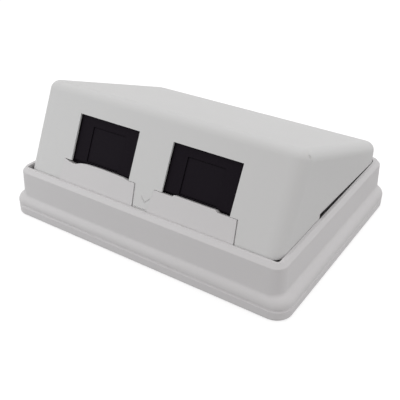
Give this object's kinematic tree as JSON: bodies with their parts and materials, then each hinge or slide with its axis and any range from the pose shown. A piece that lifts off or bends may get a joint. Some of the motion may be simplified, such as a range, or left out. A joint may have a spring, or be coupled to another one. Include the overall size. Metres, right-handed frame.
{
  "type": "surface mount jack box",
  "caption": "Low surface mount jack box with a sloping hood, a stepped surround on a flat back plate, and shuttered data sockets behind landscape windows in the leaning front.",
  "frame": {"origin": "centre of the base, on the underside of the back plate", "axes": "+X to the right seen from the socket side, +Y to the back, +Z away from the wall or desk it is fixed to"},
  "size_m": [0.1, 0.0768, 0.0413],
  "materials": {
    "white_plastic": "fine satin, near matte",
    "screw_steel": "zinc plated",
    "jack_plastic": "matte black",
    "shutter_plastic": "matte black",
    "pin_steel": "ground",
    "spring_steel": "drawn wire",
    "contact_metal": "gold plated",
    "comb_plastic": "matte black",
    "board_laminate": "green lacquer",
    "terminal_plastic": "natural",
    "blade_metal": "tin plated",
    "cap_plastic": "matte black"
  },
  "bodies": {
    "base": {"back_plate": "white_plastic", "base_frame": "white_plastic", "base_screws": "screw_steel", "jack_housing_1": "jack_plastic", "shutter_pin_1": "pin_steel", "contact_wires_1": "contact_metal", "contact_comb_1": "comb_plastic", "circuit_board_1": "board_laminate", "idc_block_1": "terminal_plastic", "idc_blades_1": "blade_metal", "wire_cap_1": "cap_plastic", "jack_housing_2": "jack_plastic", "shutter_pin_2": "pin_steel", "contact_wires_2": "contact_metal", "contact_comb_2": "comb_plastic", "circuit_board_2": "board_laminate", "idc_block_2": "terminal_plastic", "idc_blades_2": "blade_metal", "wire_cap_2": "cap_plastic"},
    "hood": {"hood_cover": "white_plastic"},
    "door_1": {"shutter_1": "shutter_plastic", "shutter_spring_1": "spring_steel"},
    "door_2": {"shutter_2": "shutter_plastic", "shutter_spring_2": "spring_steel"}
  },
  "joints": [
    {"name": "hood_hinge", "type": "hinge", "parent": "base", "child": "hood", "pos_m": [0, 0.0358, 0.0165], "axis": [-1, 0, 0], "range_deg": [0, 70]},
    {"name": "door_1_hinge", "type": "hinge", "parent": "base", "child": "door_1", "pos_m": [-0.0171, -0.02312, 0.03294], "axis": [1, 0, 0], "range_deg": [0, 90], "stiffness_Nm_per_rad": 0.0002, "springref_deg": -28.65},
    {"name": "door_2_hinge", "type": "hinge", "parent": "base", "child": "door_2", "pos_m": [0.0171, -0.02312, 0.03294], "axis": [1, 0, 0], "range_deg": [0, 90], "stiffness_Nm_per_rad": 0.0002, "springref_deg": -28.65}
  ]
}
